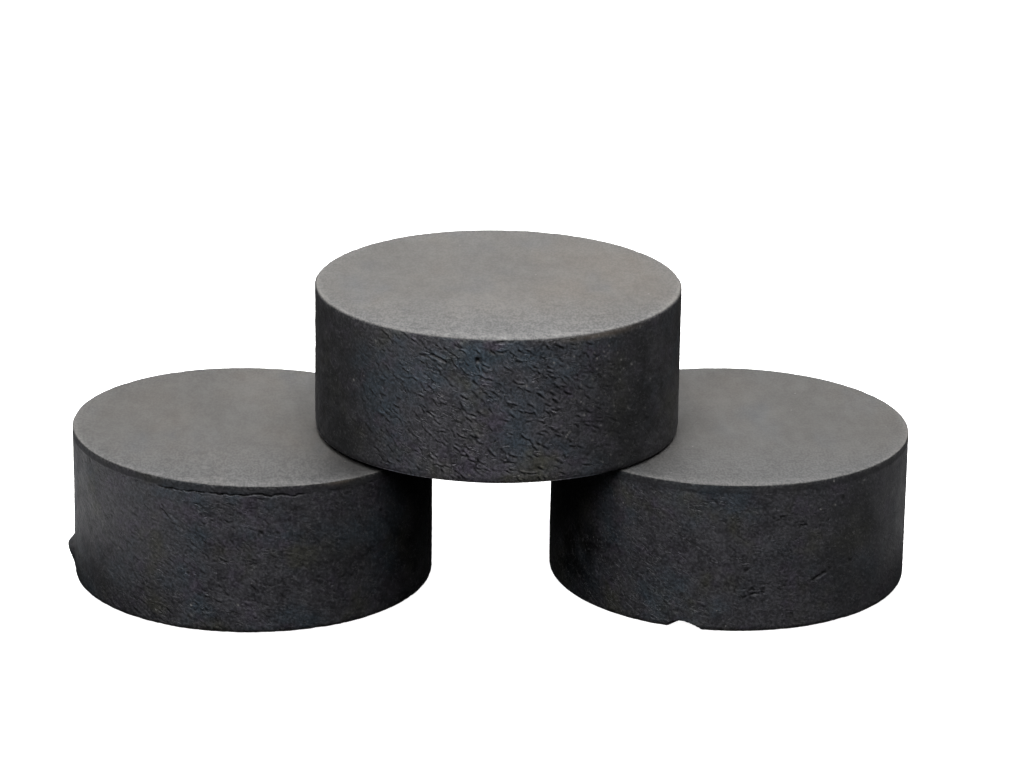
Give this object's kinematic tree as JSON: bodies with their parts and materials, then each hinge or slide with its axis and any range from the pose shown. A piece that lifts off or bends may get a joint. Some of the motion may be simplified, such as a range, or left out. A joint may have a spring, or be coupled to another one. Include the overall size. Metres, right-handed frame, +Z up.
{
  "type": "pressed charcoal pucks",
  "caption": "Short round pucks of pressed black charcoal, two lying side by side with a gap and one bridging them on top.",
  "frame": {"origin": "on the table that the two lower pucks stand on, at the middle of the row's bounding box", "axes": "+X along the row from the left puck to the right one, +Y to the back, +Z up"},
  "size_m": [0.093, 0.0404, 0.0334],
  "materials": {
    "left_charcoal": "matte",
    "right_charcoal": "matte",
    "top_charcoal": "matte"
  },
  "bodies": {
    "left": {"left_puck": "left_charcoal"},
    "right": {"right_puck": "right_charcoal"},
    "top": {"top_puck": "top_charcoal"}
  },
  "joints": [
    {"name": "right_slide", "type": "slide", "parent": "left", "child": "right", "axis": [1, 0, 0], "range_m": [-0.0125, 0.03]},
    {"name": "top_lift", "type": "slide", "parent": "left", "child": "top", "axis": [0, 0, 1], "range_m": [0, 0.05]}
  ]
}
